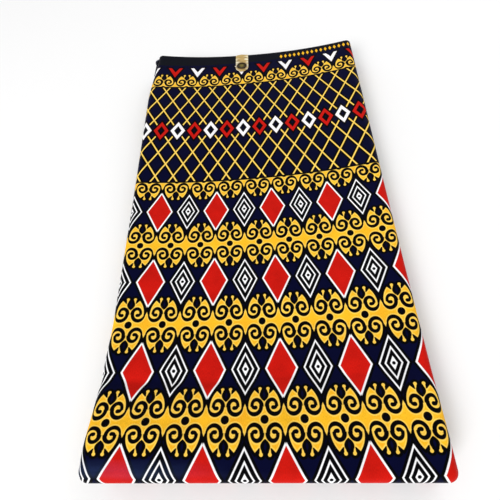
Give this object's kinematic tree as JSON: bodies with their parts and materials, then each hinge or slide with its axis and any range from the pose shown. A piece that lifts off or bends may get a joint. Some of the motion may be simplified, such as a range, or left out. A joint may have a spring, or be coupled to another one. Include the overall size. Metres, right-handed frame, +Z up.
{
  "type": "folded wax print cloth",
  "caption": "A length of printed cotton cloth, doubled along its middle and folded into a flat packet, with a plain foil label over the selvage.",
  "frame": {"origin": "middle of the face that the packet rests on", "axes": "+Z up; +Y along the packet, from the lengthwise fold towards the selvages; +X across it"},
  "size_m": [0.308, 0.584, 0.0537],
  "materials": {
    "printed_cotton": "calendered wax print cotton, soft gloss",
    "folded_cotton": "folded wax print cotton, seen at its folds and selvages",
    "foil": "plain gold foil film"
  },
  "bodies": {
    "root": {"top_panel": "printed_cotton", "folded_layers": "folded_cotton", "label": "foil"}
  },
  "joints": []
}
